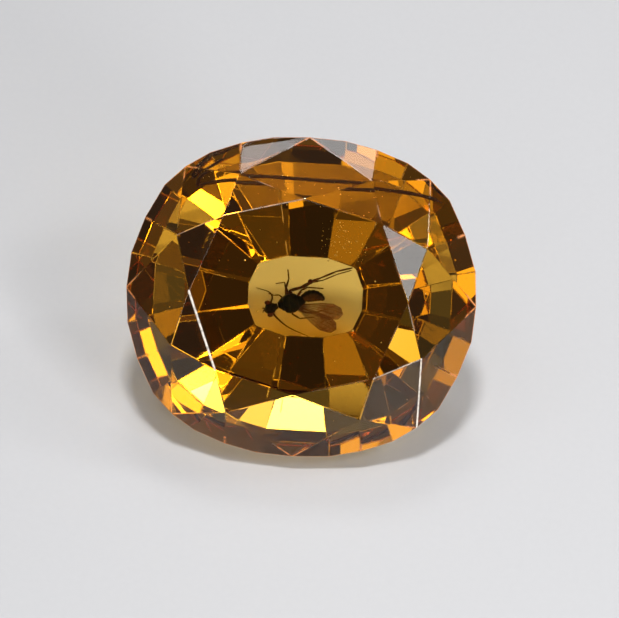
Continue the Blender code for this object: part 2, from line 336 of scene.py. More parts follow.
# Corners are where three planes meet with none of the stone cut off there; each facet is the ring
# of the corners on its plane, in order round its middle.
def stoneRings(normals, offsets, weld=4e-6, touch=2e-6, parallel=1e-4):
    count = len(normals)
    i, j, k = np.array([(a, b, c) for a in range(count) for b in range(a) for c in range(b)]).T
    rows = np.stack((normals[i], normals[j], normals[k]), axis=1)
    reach = np.stack((offsets[i], offsets[j], offsets[k]), axis=1)
    good = abs(np.linalg.det(rows)) > parallel
    found = np.linalg.solve(rows[good], reach[good][..., None])[..., 0]
    found = found[((found @ normals.T - offsets) < touch).all(axis=1)]
    corners = []
    for point in found:
        if all(np.linalg.norm(point - other) > weld for other in corners):
            corners.append(point)
    corners = np.array(corners)
    rings = []
    for normal, offset in zip(normals, offsets):
        ring = np.flatnonzero(abs(corners @ normal - offset) < weld)
        out = corners[ring] - corners[ring].mean(axis=0)
        across = np.cross(normal, (0.577, 0.577, 0.578))    # any direction that no normal has
        across /= np.linalg.norm(across)
        rings.append(ring[np.argsort(np.arctan2(out @ np.cross(normal, across), out @ across))])
    return corners, rings


normals, offsets = outerPlanes()
corners, rings = stoneRings(normals, offsets)
tableNormal = normals[0]               # the table is the largest facet
stoneX = np.array((1.0, 0.0, 0.0))
stoneY = np.cross(tableNormal, stoneX)
stoneOrigin = corners[rings[0]].mean(axis=0) - stone["crownHeight"] * mm * tableNormal
print("stone:", len(rings), "facets,", len(corners), "corners, origin", stoneOrigin.round(6))


# Millimetres along the stone's length, its width and out of its table, as points of the frame.
def fromStone(points):
    points = np.asarray(points, float) * mm
    level = stoneOrigin + points[..., :1] * stoneX + points[..., 1:2] * stoneY
    return level + points[..., 2:] * tableNormal


# Scars, worn edges frosted pale as a painted highlight line: the frost fades with the distance to the
# nearest point of each scar's line.
def highlightScarMask(paint):
    place = paint.place()
    total = 0.0
    for start, end, width, depth in stone["highlightScars"]:
        first, last = fromStone((start, end))
        along = last - first
        offset = paint.vector("SUBTRACT", "Vector", {0: place, 1: first})
        share = paint.vector("DOT_PRODUCT", "Value", {0: offset, 1: along / (along @ along)})
        held = paint.node("ShaderNodeClamp", None, {"Value": share})
        nearest = paint.vector("SCALE", "Vector", {0: along, "Scale": held})
        away = paint.vector("DISTANCE", "Value", {0: offset, 1: nearest})
        total = total + (1 - paint.step(away, width * stone["highlightScarCore"] * mm, width * mm)) * depth
    return total


# The girdle's own edges: a thin rubbed line where a facet's edge lies close to the girdle plane.
def girdleMask(paint):
    band = stone["girdleBand"]
    height = paint.vector("DOT_PRODUCT", "Value", {0: paint.place(), 1: tableNormal})
    height = height - float(stoneOrigin @ tableNormal)
    away = paint.node("ShaderNodeMath", {"operation": "ABSOLUTE"}, {0: height})
    near = 1 - paint.step(away, band * stone["girdleCore"] * mm, band * mm)
    edge = 1 - paint.step(paint.attribute("edgeDistance"), 0.0, stone["girdleReach"])
    return near * edge * stone["girdleFrost"]


# Amber: clear. Roughness = polish + wear in patches near the edges + haze + the rubbed edges; the
# scratches are a noise squeezed along one direction. Frost is mixed in at the scars, a pale frost that
# paints highlight lines along worn edges, and at the girdle.
def amberPaint():
    paint = Paint("amber")
    wear = 1 - paint.step(paint.attribute("edgeDistance"), 0.0, stone["wearReach"])
    patchy = paint.step(paint.noise(stone["wearGrain"], 4.0), 0.45, 0.7)
    hazy = paint.step(paint.noise(stone["hazeGrain"], 2.0), 0.5, 0.8)
    rubbed = 1 - paint.step(paint.attribute("edgeDistance"), 0.0, stone["rubbedReach"])
    uneven = paint.step(paint.noise(stone["rubbedGrain"], 1.0), 0.48, 0.62)
    allAlong, inStretches = stone["rubbed"]
    roughness = stone["polish"] + wear * patchy * stone["wear"] + hazy * stone["haze"]
    squeezed = paint.node("ShaderNodeMapping", {"vector_type": "POINT"}, {
        "Vector": paint.place(), "Rotation": stone["scratchTurn"], "Scale": stone["scratchSqueeze"],
    })
    scratch = paint.step(paint.noise(stone["scratchGrain"], 5.0, 0.6, squeezed), 0.60, 0.72)
    allOver, nearEdges = stone["scratchShow"]
    paint.surface({
        "Base Color": colour(1, 1, 1),
        "Roughness": roughness + rubbed * (allAlong + uneven * inStretches),
        "Transmission Weight": 1.0,
        "IOR": stone["ior"],
        "Normal": paint.bump(scratch * (wear * nearEdges + allOver), stone["scratchDepth"],
                             stone["scratchStrength"]),
    })
    # scars: worn edges frosted pale, a painted highlight line along each
    highlightScars = highlightScarMask(paint)
    chipped = 0.55 + 0.45 * paint.step(paint.noise(stone["chipGrain"], 3.0), 0.35, 0.6)
    least, more = stone["frost"]
    frosted = paint.node("ShaderNodeBsdfPrincipled", None, {
        "Base Color": paint.blend(highlightScars * 3.0, stone["girdleTone"], stone["highlightScarTone"]),
        "Roughness": least + patchy * more,
    })
    paint.send("Surface", paint.node("ShaderNodeMixShader", None, {
        0: (highlightScars + girdleMask(paint)) * chipped, 1: paint.whole(), 2: frosted,
    }))
    paint.send("Volume", paint.node("ShaderNodeVolumeAbsorption", None, {
        "Color": stone["absorbColour"], "Density": stone["absorbPerMetre"],
    }))
    return paint.material


# Each facet is rings of its own outline, drawn in toward its middle; edgeDistance says how far in.
def makeStone():
    points, quads, triangles, distance = [corners], [], [], [np.zeros(len(corners))]
    base = len(corners)
    for ring in rings:
        outline = corners[ring]
        middle = outline.mean(axis=0)
        edge = np.roll(outline, -1, axis=0) - outline
        size = np.linalg.norm(np.cross(edge, middle - outline), axis=1)
        reach = (size / np.linalg.norm(edge, axis=1)).min()    # from the middle to the nearest edge
        level = ring
        for depth in stone["rimRings"]:
            share = depth * mm / reach
            if share >= stone["rimShare"]:
                break
            points.append(outline * (1 - share) + middle * share)
            distance.append(np.full(len(ring), depth))
            inner = base + np.arange(len(ring))
            base += len(ring)
            quads.append(np.stack((level, np.roll(level, -1), np.roll(inner, -1), inner), axis=-1))
            level = inner
        points.append(middle[None])
        distance.append([reach / mm])
        triangles.append(np.stack((level, np.roll(level, -1), np.full(len(ring), base)), axis=-1))
        base += 1
    piece = addMesh("amberStone", points, quads + triangles, amberPaint(),
                    {"edgeDistance": distance}, smooth=False)
    rounding = piece.modifiers.new("wornEdges", "BEVEL")
    rounding.width = stone["edgeRound"]
    rounding.segments = 2
    rounding.limit_method = "ANGLE"
    rounding.angle_limit = math.radians(stone["edgeAngle"])
    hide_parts("amber_crown", "amber_pavilion")
    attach(piece, "root")
    print("amber done")


makeStone()


# Insect, in the stone's own millimetres, with heights from the level where the halves part.
insect = {
    "level": -1.60,
    "lanes": 28,
    "steps": 14,                       # rings for each stretch of a body part's route
    "thorax": ((-0.82, -0.35, 0.02), (-0.60, -0.29, 0.04), (-0.34, -0.24, 0.06),
               (-0.06, -0.16, 0.03), (0.12, -0.08, 0.02)),
    "thoraxRadius": (0.10, 0.23, 0.32, 0.355, 0.345, 0.28, 0.19, 0.11),
    "thoraxFurrows": (0.20, 0.47, 0.74),
    "thoraxHeight": 0.95,
    "abdomen": ((0.00, -0.10, 0.02), (0.14, -0.01, 0.04), (0.36, 0.06, 0.04), (0.58, 0.05, 0.02),
                (0.73, -0.01, 0.00), (0.80, -0.08, -0.01)),
    "abdomenRadius": (0.10, 0.16, 0.205, 0.215, 0.205, 0.175, 0.13, 0.05),
    "abdomenRings": 7,
    "head": ((-1.30, -0.57, 0.00), (-1.20, -0.53, 0.02), (-1.04, -0.45, 0.03),
             (-0.84, -0.37, 0.02)),
    "headRadius": (0.06, 0.17, 0.215, 0.20, 0.12, 0.09),
    # share of the painted sheen on the head
    "headSheen": 0.15,
    "eyes": (((-1.21, -0.28, 0.06), (0.115, 0.085, 0.14)),
             ((-1.09, -0.71, 0.06), (0.105, 0.085, 0.13))),
    "knob": ((0.29, 0.56, 0.22), (0.095, 0.095, 0.085)),
    "mouth": (((-1.27, -0.54, -0.02), (-1.35, -0.58, -0.06), (-1.36, -0.65, -0.12)),
              ((-1.29, -0.50, -0.02), (-1.37, -0.48, -0.08), (-1.41, -0.52, -0.14)),
              ((-1.28, -0.52, 0.00), (-1.34, -0.54, -0.10), (-1.32, -0.56, -0.20))),
    "mouthRadius": (0.028, 0.020, 0.024, 0.014, 0.018, 0.006),
    "mouthPale": 0.4,
    "hairs": 420,
    "hairLength": (0.04, 0.10),
    "hairRadius": 0.0032,
    "hairTip": 0.0006,
    "hairDark": 0.7,
}

# Each leg: hip, knee, ankle and tip, and the radius of its thigh and of its foot.
legs = {
    "front": (((-0.46, -0.02, -0.08), (-0.58, 0.31, -0.14), (-0.50, 0.62, -0.08),
               (-0.55, 0.96, 0.02)), (0.050, 0.020)),
    "frontFar": (((-0.56, -0.06, -0.15), (-0.61, 0.28, -0.30), (-0.65, 0.49, -0.34),
                  (-0.98, 0.42, -0.38)), (0.040, 0.016)),
    "frontLeft": (((-0.62, -0.12, -0.10), (-0.82, 0.02, -0.22), (-1.00, 0.00, -0.26),
                   (-1.22, 0.06, -0.30)), (0.036, 0.014)),
    "hindThigh": (((-0.34, 0.00, 0.05), (-0.44, 0.20, 0.12), (-0.04, 0.33, 0.18),
                   (0.27, 0.51, 0.21)), (0.068, 0.060)),
    "hind": (((0.28, 0.55, 0.21), (0.66, 0.72, 0.18), (1.20, 0.98, 0.08),
              (1.77, 1.14, 0.0)), (0.046, 0.030)),
    "hindShin": (((0.30, 0.53, 0.17), (0.74, 0.64, 0.10), (1.24, 0.88, 0.04),
                  (1.74, 1.05, -0.03)), (0.030, 0.018)),
    "middle": (((-0.14, 0.02, 0.10), (-0.02, 0.24, 0.20), (0.20, 0.355, 0.25),
                (0.78, 0.34, 0.20)), (0.048, 0.020)),
    "hindFar": (((0.02, -0.26, -0.05), (0.05, -0.54, -0.12), (0.46, -0.56, -0.18),
                 (1.26, -0.24, -0.26)), (0.046, 0.018)),
    "middleFar": (((-0.24, -0.40, -0.10), (-0.31, -0.63, -0.16), (-0.03, -0.78, -0.20),
                   (0.50, -0.70, -0.26)), (0.048, 0.018)),
}

# What the legs share. Beads and swellings are parts of the radius, reaches parts of a stretch.
legShape = {
    "steps": 16,                       # rings for each stretch
    "lanes": 10,
    "knee": 0.72,                      # radius at the first knee, as a part of the thigh's
    "swelling": (0.80, 0.32),          # at a knee, and more halfway between knees
    "slender": 0.5,                    # a foot thinner than this part of its thigh has beads
    "beads": 5,
    "beading": (0.95, 0.35),           # between beads, and more at a bead
    "beadReach": 0.55,
    "darkReach": 0.10,                 # from a knee
}

antennae = {
    "near": ((-1.02, -0.58, 0.08), (-0.86, -0.78, 0.14), (-0.40, -1.12, 0.10), (0.50, -1.47, 0.0)),
    "far": ((-1.10, -0.30, 0.08), (-1.05, -0.06, 0.14), (-1.20, 0.12, 0.10), (-1.66, 0.24, 0.0)),
    "radius": (0.038, 0.032, 0.024, 0.018, 0.014, 0.010),
    "joints": 26,
    "steps": 40,                       # rings for each stretch
    "lanes": 8,
    "dark": 0.6,
}

# Wings: a root, a heading and a tilt in degrees for each; one outline, in parts of the length.
wings = {
    "length": 1.70,
    "width": 0.62,
    "thickness": 0.006,
    "places": {"near": ((-0.16, -0.30, 0.16), -9.0, -8.0), "far": ((-0.22, -0.36, 0.02), -27.0, -3.0)},
    "upper": ((0.0, 0.10), (0.25, 0.24), (0.50, 0.42), (0.75, 0.52), (0.93, 0.38), (1.0, 0.04)),
    "lower": ((0.0, -0.10), (0.20, -0.18), (0.45, -0.36), (0.70, -0.48), (0.93, -0.30), (1.0, 0.04)),
    "rows": 60,
    "columns": 18,
    "veins": (((0.0, 0.8), (0.5, 0.97), (0.9, 0.97)), ((0.0, 0.7), (0.4, 0.84), (0.93, 0.80)),
              ((0.0, 0.6), (0.4, 0.66), (0.97, 0.60)), ((0.0, 0.5), (0.35, 0.50), (0.96, 0.36)),
              ((0.0, 0.4), (0.3, 0.34), (0.86, 0.12)), ((0.0, 0.3), (0.25, 0.20), (0.60, 0.05))),
    "crossVeins": (((0.36, 0.80), (0.38, 0.64)), ((0.46, 0.65), (0.47, 0.46)),
                   ((0.62, 0.81), (0.64, 0.63)), ((0.33, 0.50), (0.34, 0.34)),
                   ((0.66, 0.62), (0.67, 0.42))),
    "veinRadius": (0.014, 0.0056),     # at the root and at the tip
    "crossVeinRadius": (0.007, 0.007),
    "veinDark": 0.2,
}

insectTones = {
    "cuticle": (colour(0.0012, 0.003, 0.001), colour(0.010, 0.004, 0.0015)),
    # amber brown of the painted sheen on one side, and of the paler mouth parts
    "paleAndSheen": colour(0.11, 0.045, 0.012),
    "limb": (colour(0.012, 0.004, 0.002), colour(0.120, 0.022, 0.006)),
    "joint": colour(0.006, 0.003, 0.002),
    "eye": (colour(0.020, 0.003, 0.002), colour(0.085, 0.010, 0.004)),
    "wing": (colour(0.30, 0.060, 0.012), colour(0.050, 0.012, 0.004)),
}


def fromInsect(points):
    return fromStone(np.asarray(points, float) + (0, 0, insect["level"]))


# Cuticle: near-black green and brown patches; a painted sheen on one side of the abdomen and head,
# and the mouth parts' own paler tone, turn amber brown with a coarse mottle.
def cuticlePaint():
    paint = Paint("insectCuticle")
    mottle = paint.noise(0.09 * mm, 4.0)
    fine = paint.noise(0.018 * mm, 3.0)
    # painted sheen on one side of the abdomen and head, plus the mouth parts' own paler tone
    paleAndSheenShare = paint.attribute("paleAndSheen") * (mottle * 1.1 + 0.05)
    dark = paint.blend(paint.step(mottle, 0.45, 0.70), *insectTones["cuticle"])
    paint.surface({
        "Base Color": paint.blend(paleAndSheenShare, dark, insectTones["paleAndSheen"]),
        "Roughness": 0.34 + mottle * 0.22,
        "Specular IOR Level": 0.12,
        "Coat Weight": 0.03 + fine * 0.06,
        "Normal": paint.bump(fine * 0.6 + mottle, 0.006 * mm, 0.6),
    })
    return paint.material


# Limbs: red brown with a fine mottle, nearly black at every joint.
def limbPaint():
    paint = Paint("insectLimb")
    mottle = paint.noise(0.05 * mm, 3.0)
    tone = paint.blend(paint.step(mottle, 0.35, 0.70), *insectTones["limb"])
    paint.surface({
        "Base Color": paint.blend(paint.attribute("joint") * 0.85, tone, insectTones["joint"]),
        "Roughness": 0.30 + mottle * 0.20,
        "Specular IOR Level": 0.3,
        "Normal": paint.bump(mottle, 0.004 * mm, 0.5),
    })
    return paint.material


# Eyes: dark red in slow patches, with a bump that rises in the middle of every cell of a fine
# cell pattern.
def eyePaint():
    paint = Paint("insectEye")
    cells = paint.node("ShaderNodeTexVoronoi", None, {
        "Vector": paint.place(), "Scale": 1 / (0.022 * mm),
    })
    paint.surface({
        "Base Color": paint.blend(paint.noise(0.12 * mm), *insectTones["eye"]),
        "Roughness": 0.22 + cells * 0.25,
        "Specular IOR Level": 0.3,
        "Normal": paint.bump(1 - cells, 0.004 * mm, 0.7),
    })
    return paint.material


# Wings: clear near the root, turning red brown and crumpled along "reach", with cloudy patches.
def wingPaint():
    paint = Paint("wingMembrane")
    reach = paint.step(paint.attribute("reach"), 0.30, 0.72)
    cloudy = paint.noise(0.20 * mm, 4.0)
    wrinkle = paint.noise(0.05 * mm, 4.0)
    streak = paint.step(wrinkle, 0.42, 0.62)
    paint.surface({
        "Base Color": paint.blend(cloudy * 0.7 + streak * 0.4, *insectTones["wing"]),
        "Roughness": 0.34 + wrinkle * 0.2,
        "Specular IOR Level": 0.3,
        "Alpha": 0.06 + reach * (0.26 + streak * 0.24) + cloudy * 0.26,
        "Normal": paint.bump(wrinkle, 0.008 * mm, 0.8),
    })
    return paint.material


# Chest: radius = its own values * a dip at each furrow * (1 + more on the back - a groove along the
# back + three shallow lobes that turn along it). The back is where the angle is a quarter turn.
def chest(share, angle):
    r = spread(share, insect["thoraxRadius"])
    for furrow in insect["thoraxFurrows"]:
        r = r * (1 - 0.09 * np.exp(-((share - furrow) / 0.022) ** 2))
    groove = 0.05 * np.exp(-((angle - math.pi / 2) / 0.12) ** 2)
    return r * (1 + 0.10 * np.sin(angle) - groove + 0.03 * np.cos(3 * angle + 9 * share))


# Abdomen: the radius grows toward the back of each plate and drops to the next one at its rim.
def tail(share, angle):
    plates = 1 - 0.13 * (1 - (share * insect["abdomenRings"]) % 1) ** 3
    return spread(share, insect["abdomenRadius"]) * plates * (1 + 0.03 * np.cos(2 * angle))


# Head: radius = its own values * (1 + four shallow lobes - one crease round it).
def skull(share, angle):
    crease = 0.06 * np.exp(-((share - 0.55) / 0.06) ** 2)
    return spread(share, insect["headRadius"]) * (1 + 0.05 * np.cos(4 * angle) - crease)


# Chest, abdomen, head and mouth parts. A painted sheen lightens the side that faces the edge of the
# stone where y is least, and a little toward the table, on the abdomen and a little on the head; the
# mouth parts are evenly paler in their own tone.
def makeBody():
    lanes = insect["lanes"]
    angle = np.linspace(0, 2 * math.pi, lanes, endpoint=False)
    # painted sheen: lightest on the side toward the stone's edge where y is least
    sheenSide = np.clip(-np.cos(angle + 0.5) * 1.4, 0, 1)
    parts, paleAndSheen = [], []
    for key, shape, high, paleAndSheenShare in (("thorax", chest, insect["thoraxHeight"], 0.0),
                                   ("abdomen", tail, 1.0, 1.0),
                                   ("head", skull, 1.0, insect["headSheen"])):
        grid = tubeGrid(smoothRoute(insect[key], insect["steps"]), shape, lanes, high)
        parts.append(grid)
        paleAndSheen.append(gridValues(np.broadcast_to(sheenSide * paleAndSheenShare, grid.shape[:2]), (0, 0)))
    for route in insect["mouth"]:
        grid = tubeGrid(smoothRoute(route, 6), insect["mouthRadius"], 8)
        parts.append(grid)
        paleAndSheen.append(evenValue(grid, insect["mouthPale"]))
    body = addGrids("insectBody", [fromInsect(part) for part in parts], cuticlePaint(),
                    {"paleAndSheen": paleAndSheen})
    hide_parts("insect")
    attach(body, "root")

    ball = ballGrid(16, 22, 0.05)
    rounds = (*insect["eyes"], insect["knob"])
    balls = [fromInsect(np.array(centre) + ball * size) for centre, size in rounds]
    eyes = addGrids("insectEyes", balls, eyePaint())
    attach(eyes, "root")
    return parts


# Leg: radius = thigh tapering to foot * (less at a knee, more halfway between knees). A slender foot
# ends in beads: radius = foot * (thin + thick * the size of a sine). Given back with it is how close
# each of its points is to a knee.
def legGrid(route, thigh, foot):
    path = kneedRoute(route, legShape["steps"])
    stretches = len(route) - 1
    place = np.linspace(0, stretches, len(path))
    within = place % 1.0
    thin, thick = legShape["swelling"]
    taper = np.interp(place, (0, 1, stretches), (thigh, thigh * legShape["knee"], foot))
    shape = taper * (thin + thick * np.sin(math.pi * within))
    if foot < legShape["slender"] * thigh:
        rest, reach = stretches - place, legShape["beadReach"]
        thin, thick = legShape["beading"]
        beads = thin + thick * np.abs(np.sin(legShape["beads"] * math.pi * rest / reach))
        shape = np.where(rest < reach, foot * beads, shape)
    shape[-1] = foot * 0.5
    lanes = legShape["lanes"]
    grid = tubeGrid(path, lambda share, angle: np.interp(share, lengthShare(path), shape), lanes)
    near = np.exp(-(np.minimum(within, 1 - within) / legShape["darkReach"]) ** 2)
    return grid, gridValues(np.repeat(near, lanes), (1, 1))


# Antenna: radius = its own values * (0.80 + 0.32 * the size of a sine, one hump for each joint).
def antennaShape(share, angle):
    humps = np.abs(np.sin(antennae["joints"] * math.pi * share))
    return spread(share, antennae["radius"]) * (0.80 + 0.32 * humps)


def makeLimbs():
    parts, joint = [], []
    for route, (thigh, foot) in legs.values():
        grid, near = legGrid(route, thigh, foot)
        parts.append(grid)
        joint.append(near)
    for route in (antennae["near"], antennae["far"]):
        grid = tubeGrid(smoothRoute(route, antennae["steps"]), antennaShape, antennae["lanes"])
        parts.append(grid)
        joint.append(evenValue(grid, antennae["dark"]))
    limbs = addGrids("insectLimbs", [fromInsect(part) for part in parts], limbPaint(),
                     {"joint": joint})
    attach(limbs, "root")
    return parts


# Hair: three sided, from a random root outward and along the part, bent a little, down to a point.
def hairGrid(part, share):
    ring = draw.integers(2, len(part) - 2)
    root = part[ring, draw.integers(part.shape[1])]
    out = root - part[ring].mean(axis=0)
    out /= np.linalg.norm(out)
    along = part[ring + 1].mean(axis=0) - part[ring - 1].mean(axis=0)
    along /= np.linalg.norm(along)
    least, most = insect["hairLength"]
    length = least + share * (most - least)
    tip = root + length * (0.75 * out + 0.65 * along)
    middle = (root + tip) / 2 + 0.12 * length * out
    radius = (insect["hairRadius"], insect["hairRadius"] * 0.7, insect["hairTip"])
    return tubeGrid(np.array((root - 0.01 * out, middle, tip)), radius, 3)


# Parts with more rings get more of the hairs.
def makeHairs(parts):
    shares = draw.random(insect["hairs"])
    sizes = np.array([len(part) for part in parts], float)
    hairs = []
    for share in shares:
        part = parts[draw.choice(len(parts), p=sizes / sizes.sum())]
        hairs.append(hairGrid(part, share))
    piece = addGrids("insectHairs", [fromInsect(hair) for hair in hairs], limbPaint(),
                     {"joint": [evenValue(hair, insect["hairDark"]) for hair in hairs]})
    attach(piece, "root")


# Wing: u runs from root to tip and v from the hind edge to the front edge. Its height = a slow wave
# that fades at both edges + a quick ripple along it + a crumple that grows toward the front edge;
# then it is tilted about its length and turned to its heading.
def wingPoint(place, u, v):
    root, heading, tilt = place
    upper = np.interp(u, *zip(*wings["upper"])) * wings["width"]
    lower = np.interp(u, *zip(*wings["lower"])) * wings["width"]
    x = u * wings["length"]
    y = lower + (upper - lower) * v
    z = 0.020 * np.sin(7 * u + 3 * v) * np.sin(math.pi * v) + 0.010 * np.sin(19 * u + 2 * v)
    z = z + 0.012 * np.sin(31 * u * v + 4 * v) * v
    turn, lean = math.radians(heading), math.radians(tilt)
    y, z = y * math.cos(lean) - z * math.sin(lean), y * math.sin(lean) + z * math.cos(lean)
    z = z + x * math.sin(lean / 2)
    return np.stack((root[0] + x * math.cos(turn) - y * math.sin(turn),
                     root[1] + x * math.sin(turn) + y * math.cos(turn), root[2] + z), axis=-1)


# Vein: a thin tube on the wing's sheet, along a line of (u, v, 0).
def veinGrid(place, line, radius):
    return fromInsect(tubeGrid(wingPoint(place, line[:, 0], line[:, 1]), radius, 6))


def makeWings():
    membranes, veins, reach = [], [], []
    rows, columns = wings["rows"], wings["columns"]
    u = np.linspace(0.0, 1.0, rows)[:, None] * np.ones((1, columns))
    v = np.linspace(0.0, 1.0, columns)[None, :] * np.ones((rows, 1))
    for place in wings["places"].values():
        top = wingPoint(place, u, v)
        under = top[:, ::-1] - np.array((0, 0, wings["thickness"]))
        membranes.append(fromInsect(np.concatenate((top, under), axis=1)))
        reach.append(gridValues(np.repeat(u[:, 0], 2 * columns), (0, 1)))
        for vein in wings["veins"]:
            line = smoothRoute([(a, b, 0) for a, b in vein], 14)
            veins.append(veinGrid(place, line, wings["veinRadius"]))
        for vein in wings["crossVeins"]:
            line = kneedRoute([(a, b, 0) for a, b in vein], 6)
            veins.append(veinGrid(place, line, wings["crossVeinRadius"]))
    membrane = addGrids("insectWings", membranes, wingPaint(), {"reach": reach})
    vein = addGrids("insectWingVeins", veins, limbPaint(),
                    {"joint": [evenValue(grid, wings["veinDark"]) for grid in veins]})
    for piece in (membrane, vein):
        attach(piece, "root")


makeWings()
makeHairs(makeBody() + makeLimbs())
print("insect done")

# Plant fibre: a dry stalk across the stone that hooks back at one end.
fibre = {
    "radius": 0.082,
    "route": ((-2.89, 4.53, -0.75), (-3.19, 4.21, -0.95), (-3.43, 3.99, -1.06), (-3.58, 3.86, -1.14),
              (-3.65, 3.60, -1.36), (-3.62, 3.44, -1.58), (-3.27, 3.48, -1.64), (-2.30, 3.58, -1.66),
              (0.61, 3.56, -1.60), (2.34, 3.60, -1.38), (3.74, 3.63, -1.00), (4.66, 3.52, -0.62)),
    "steps": 26,                       # rings for each stretch
    "lanes": 20,
    "ribs": 5,
    "twist": 14,                       # radians along the whole of it
    "strands": 5,
    "strandRadius": (0.002, 0.011, 0.011, 0.002),
    "strandRings": 40,                 # least number of rings in a strand
    "endRings": 8,                     # at each end of the stalk, where no strand begins
    "strandTone": 0.8,
    "darkTones": (colour(0.008, 0.003, 0.0015), colour(0.030, 0.009, 0.003)),
    "ridgeTone": colour(0.20, 0.035, 0.008),
}


# Fibre: dark brown in slow patches, with red brown along its ridges.
def fibrePaint():
    paint = Paint("plantFibre")
    grain = paint.noise(0.05 * mm, 4.0)
    dark = paint.blend(paint.noise(0.5 * mm, 2.0), *fibre["darkTones"])
    paint.surface({
        "Base Color": paint.blend(paint.attribute("ridge") * grain * 0.8, dark, fibre["ridgeTone"]),
        "Roughness": 0.50 + grain * 0.3,
        "Normal": paint.bump(grain, 0.010 * mm, 0.7),
    })
    return paint.material


# Where on the stalk a point is, as an angle that turns once for every rib and twists along it.
def ribTurn(share, angle):
    return fibre["ribs"] * angle + fibre["twist"] * share


# Stalk: radius = the fibre's * (0.82 + twisted ribs + lumps), thin at both ends.
def stalk(share, angle):
    taper = np.clip(np.minimum(share, 1 - share) / 0.03, 0.25, 1)
    ribs = 0.10 * np.cos(ribTurn(share, angle)) + 0.04 * np.cos(11 * angle - 31 * share)
    lumps = 0.07 * np.sin(61 * share + 2 * angle) + 0.05 * np.sin(147 * share)
    return fibre["radius"] * taper * (0.82 + ribs + lumps)


# The stalk, and loose strands that wind round it: each takes up a random run of the rings of
# route = path + off * (cos * side + sin * top).
def makeFibre():
    path = smoothRoute(fibre["route"], fibre["steps"])
    share = lengthShare(path)[:, None]
    angle = np.linspace(0, 2 * math.pi, fibre["lanes"], endpoint=False)[None, :]
    ridge = np.clip(0.5 + 0.5 * np.cos(ribTurn(share, angle)), 0, 1)
    parts, tone = [tubeGrid(path, stalk, fibre["lanes"])], [gridValues(ridge, (0, 0))]
    side, top = routeFrame(path)
    ends, least = fibre["endRings"], fibre["strandRings"]
    for i in range(fibre["strands"]):
        turn = 2 * math.pi * i / fibre["strands"] + share * (7 + 2 * i)
        off = fibre["radius"] * (0.86 + 0.16 * np.sin(17 * share + 2.4 * i))
        route = path + off * (np.cos(turn) * side + np.sin(turn) * top)
        first, last = sorted(draw.integers(ends, len(path) - ends, 2))
        if first < len(path) - ends - least:
            last = max(last, first + least)
        else:
            last = len(path) - ends // 2
        strand = tubeGrid(route[first:last], fibre["strandRadius"], 6)
        parts.append(strand)
        tone.append(evenValue(strand, fibre["strandTone"]))
    piece = addGrids("plantFibre", [fromStone(part) for part in parts], fibrePaint(),
                     {"ridge": tone})
    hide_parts("plant_fibre")
    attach(piece, "root")
    print("fibre done")


makeFibre()

# Dust: groups as a middle, a spread and a number, in the stone's own millimetres.
dust = {
    "groups": (((1.45, 2.10, -1.0), (0.50, 0.45, 0.35), 130),
               ((-3.4, 4.1, -0.9), (0.30, 0.18, 0.15), 26),
               ((3.6, 3.9, -0.8), (0.45, 0.20, 0.15), 14),
               ((0.2, 3.5, -1.2), (1.6, 0.15, 0.15), 26),
               ((0.0, 0.0, -1.4), (3.0, 2.4, 0.8), 46)),
    "farthest": 1.6,                   # spreads from the middle of a group
    "size": (0.008, 0.032),
    "stretch": (0.5, 1.3),
    "dents": (0.75, 1.25),
    "tones": (colour(0.85, 0.55, 0.20), colour(1.0, 0.90, 0.65)),
    "bubbles": (((1.9, -1.1, -1.0), 0.050), ((-2.1, 1.2, -1.5), 0.040), ((0.9, 1.35, -1.1), 0.034),
                ((-0.7, -1.5, -0.9), 0.028), ((2.6, 0.7, -1.6), 0.036), ((-1.6, -0.6, -2.4), 0.045)),
}


# Grains: pale gold to cream, by a slow noise.
def dustPaint():
    paint = Paint("dustGrains")
    paint.surface({
        "Base Color": paint.blend(paint.noise(0.4 * mm), *dust["tones"]),
        "Roughness": 0.35 + paint.noise(0.05 * mm) * 0.3,
    })
    return paint.material


# Bubbles: clear, and thinner than the amber round them.
def bubblePaint():
    paint = Paint("bubble")
    paint.surface({
        "Base Color": colour(1, 1, 1),
        "Roughness": 0.0,
        "Transmission Weight": 1.0,
        "IOR": 1 / stone["ior"],
    })
    return paint.material


# Grain: a coarse ball at a random place, stretched and dented at random. Most grains are small.
def grainGrid(ball, middle, reach):
    farthest = dust["farthest"]
    place = np.array(middle) + draw.normal(size=3).clip(-farthest, farthest) * reach
    least, most = dust["size"]
    size = least + draw.random() ** 3 * (most - least)
    stretch = draw.uniform(*dust["stretch"], 3) * size
    return place + ball * stretch * draw.uniform(*dust["dents"], ball.shape[:2])[..., None]


def makeDust():
    ball = ballGrid(3, 5, 0.5)
    grains = []
    for middle, reach, number in dust["groups"]:
        grains += [fromStone(grainGrid(ball, middle, reach)) for _ in range(number)]
    piece = addGrids("dustGrains", grains, dustPaint())
    ball = ballGrid(14, 20, 0.12)
    bubbles = [fromStone(np.array(middle) + ball * radius) for middle, radius in dust["bubbles"]]
    hollow = addGrids("airBubbles", bubbles, bubblePaint())
    for made in (piece, hollow):
        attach(made, "root")
    print("dust and bubbles done")


makeDust()

studio = {
    "azimuth": 4.5,
    "elevation": 45.4,
    "lens": 300.0,
    "viewWidth": 22.13 * mm,
    "aim": (0.307 * mm, -0.433 * mm),  # right of and above the middle of the girdle, across the view
    "overhead": (0, 88, 8, 8, 98.0),   # a soft box that lights the floor and the outside only
    "worldStops": ((0.36, colour(0.026, 0.027, 0.030)), (0.66, colour(0.125, 0.127, 0.133))),
    "worldScale": 3.4,
    "floorTones": (colour(0.54, 0.54, 0.555), colour(0.60, 0.60, 0.61)),
    "floorLevel": -0.02 * mm,          # a hair under the stone, so that its lowest facet stays clear
    "floorHalf": 0.6,
    "boxDistance": 0.16,
    "bounces": 24,
}

